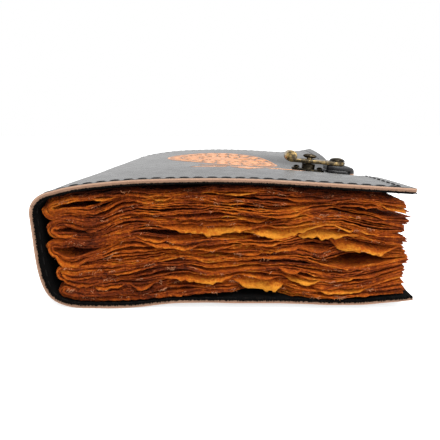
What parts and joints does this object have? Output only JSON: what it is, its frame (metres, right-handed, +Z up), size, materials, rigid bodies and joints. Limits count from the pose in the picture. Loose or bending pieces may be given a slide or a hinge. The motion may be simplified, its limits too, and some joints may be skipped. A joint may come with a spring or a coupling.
{
  "type": "prayer book",
  "caption": "Closed leather-bound prayer book with a limp wrap cover, sewn signatures of folded deckle-edged paper and a turn-lock hasp on a fore-edge strap.",
  "frame": {"origin": "middle of the box's underside, on the surface that the closed book lies on", "axes": "+Z up from the back cover to the front cover, +X from the spine to the fore-edge, +Y from the tail to the head"},
  "size_m": [0.1619, 0.2031, 0.0621],
  "materials": {
    "black_leather": "smooth black full-grain leather, soft sheen",
    "black_lining": "matt black split leather",
    "rag_paper": "dyed handmade rag paper, matt, deckle edges",
    "linen_thread": "waxed black linen thread",
    "antique_brass": "antiqued brass, dark in recesses"
  },
  "bodies": {
    "back_cover": {"back_leather": "black_leather", "back_lining": "black_lining", "strap_anchor": "black_leather", "signature_3_sheet_1": "rag_paper", "signature_3_sheet_2": "rag_paper", "signature_3_sheet_3": "rag_paper", "signature_3_sheet_4": "rag_paper", "signature_3_sheet_5": "rag_paper", "signature_3_sheet_6": "rag_paper", "sewing_thread_3": "linen_thread", "signature_4_sheet_1": "rag_paper", "signature_4_sheet_2": "rag_paper", "signature_4_sheet_3": "rag_paper", "signature_4_sheet_4": "rag_paper", "signature_4_sheet_5": "rag_paper", "sewing_thread_4": "linen_thread", "signature_5_sheet_1": "rag_paper", "signature_5_sheet_2": "rag_paper", "signature_5_sheet_3": "rag_paper", "signature_5_sheet_4": "rag_paper", "signature_5_sheet_5": "rag_paper", "sewing_thread_5": "linen_thread"},
    "upper_pages": {"spine_leather": "black_leather", "spine_lining": "black_lining", "signature_1_sheet_1": "rag_paper", "signature_1_sheet_2": "rag_paper", "signature_1_sheet_3": "rag_paper", "signature_1_sheet_4": "rag_paper", "signature_1_sheet_5": "rag_paper", "sewing_thread_1": "linen_thread", "signature_2_sheet_1": "rag_paper", "signature_2_sheet_2": "rag_paper", "signature_2_sheet_3": "rag_paper", "signature_2_sheet_4": "rag_paper", "sewing_thread_2": "linen_thread"},
    "front_cover": {"front_leather": "black_leather", "front_lining": "black_lining", "strap_drop": "black_leather", "lock_base": "antique_brass", "lock_base_rivet_1": "antique_brass", "lock_base_rivet_2": "antique_brass"},
    "hasp": {"strap_tab": "black_leather", "hasp_plate": "antique_brass", "hasp_rivet": "antique_brass"},
    "turn_knob": {"turn_knob": "antique_brass"}
  },
  "joints": [
    {"name": "book_opening", "type": "hinge", "parent": "back_cover", "child": "upper_pages", "pos_m": [-0.08004, 0, 0.03236], "axis": [0, -1, 0], "range_deg": [0, 160]},
    {"name": "front_cover_hinge", "type": "hinge", "parent": "upper_pages", "child": "front_cover", "pos_m": [-0.0695, 0, 0.0512], "axis": [0, -1, 0], "range_deg": [0, 155]},
    {"name": "hasp_lift", "type": "hinge", "parent": "front_cover", "child": "hasp", "pos_m": [0.0778, 0, 0.0519], "axis": [0, 1, 0], "range_deg": [0, 130]},
    {"name": "knob_turn", "type": "hinge", "parent": "front_cover", "child": "turn_knob", "pos_m": [0.0534, 0, 0.0489], "axis": [0.1172, 0, 0.9931], "range_deg": [0, 90]}
  ]
}
